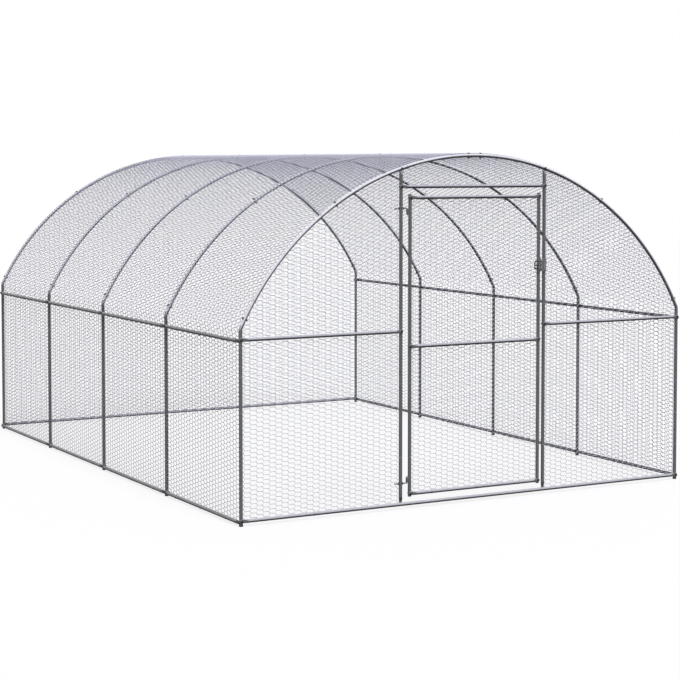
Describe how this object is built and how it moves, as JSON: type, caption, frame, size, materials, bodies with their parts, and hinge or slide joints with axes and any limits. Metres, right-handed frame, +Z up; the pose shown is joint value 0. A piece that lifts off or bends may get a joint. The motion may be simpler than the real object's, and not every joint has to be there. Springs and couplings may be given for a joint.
{
  "type": "chicken run",
  "caption": "Walk-in tunnel chicken run of bolted galvanised tube and wire netting, with curved roof and a hinged, latched door.",
  "frame": {"origin": "middle of the footprint, on the ground under the foot caps", "axes": "+X to the right seen from in front of the door, +Y from the door end to the far end, +Z up"},
  "size_m": [2.996, 4.022, 1.9953],
  "materials": {
    "galvanised_tube": "hot-dip galvanised, dull",
    "zinc_hardware": "zinc plated",
    "end_cap": "moulded",
    "net_wire": "galvanised wire"
  },
  "bodies": {
    "frame": {"post_left_1": "galvanised_tube", "post_left_2": "galvanised_tube", "post_left_3": "galvanised_tube", "post_left_4": "galvanised_tube", "post_left_5": "galvanised_tube", "post_right_1": "galvanised_tube", "post_right_2": "galvanised_tube", "post_right_3": "galvanised_tube", "post_right_4": "galvanised_tube", "post_right_5": "galvanised_tube", "arch_1": "galvanised_tube", "arch_2": "galvanised_tube", "arch_3": "galvanised_tube", "arch_4": "galvanised_tube", "arch_5": "galvanised_tube", "foot_caps": "end_cap", "apex_sleeves": "zinc_hardware", "arch_bolts": "zinc_hardware", "arch_nuts": "zinc_hardware", "base_rails_left": "galvanised_tube", "base_rails_right": "galvanised_tube", "eave_rails_left": "galvanised_tube", "eave_rails_right": "galvanised_tube", "front_base_rail": "galvanised_tube", "rear_base_rail": "galvanised_tube", "front_eave_rail_left": "galvanised_tube", "front_eave_rail_right": "galvanised_tube", "rail_bolts": "zinc_hardware", "rail_nuts": "zinc_hardware", "spacer_washers": "zinc_hardware", "door_post_left": "galvanised_tube", "door_post_right": "galvanised_tube", "door_header": "galvanised_tube", "doorway_bolts": "zinc_hardware", "doorway_nuts": "zinc_hardware", "hinge_hooks": "zinc_hardware", "hinge_nuts": "zinc_hardware", "latch_keeper": "zinc_hardware", "keeper_screws": "zinc_hardware", "roof_net": "net_wire", "side_net_left": "net_wire", "side_net_right": "net_wire", "rear_net": "net_wire", "front_net_left": "net_wire", "front_net_right": "net_wire", "front_net_top": "net_wire"},
    "door": {"door_stile_hinge": "galvanised_tube", "door_stile_latch": "galvanised_tube", "door_rail_top": "galvanised_tube", "door_rail_middle": "galvanised_tube", "door_rail_bottom": "galvanised_tube", "stile_plugs": "end_cap", "door_bolts": "zinc_hardware", "door_nuts": "zinc_hardware", "hinge_sleeves": "galvanised_tube", "latch_plate": "zinc_hardware", "latch_screws": "zinc_hardware", "door_net": "net_wire"},
    "latch": {"latch_fork": "zinc_hardware"}
  },
  "joints": [
    {"name": "door_hinge", "type": "hinge", "parent": "frame", "child": "door", "pos_m": [-0.443, -1.99, 0.9145], "axis": [0, 0, -1], "range_deg": [0, 120]},
    {"name": "latch_slide", "type": "slide", "parent": "door", "child": "latch", "axis": [1, 0, 0], "range_m": [0, 0.022]}
  ]
}
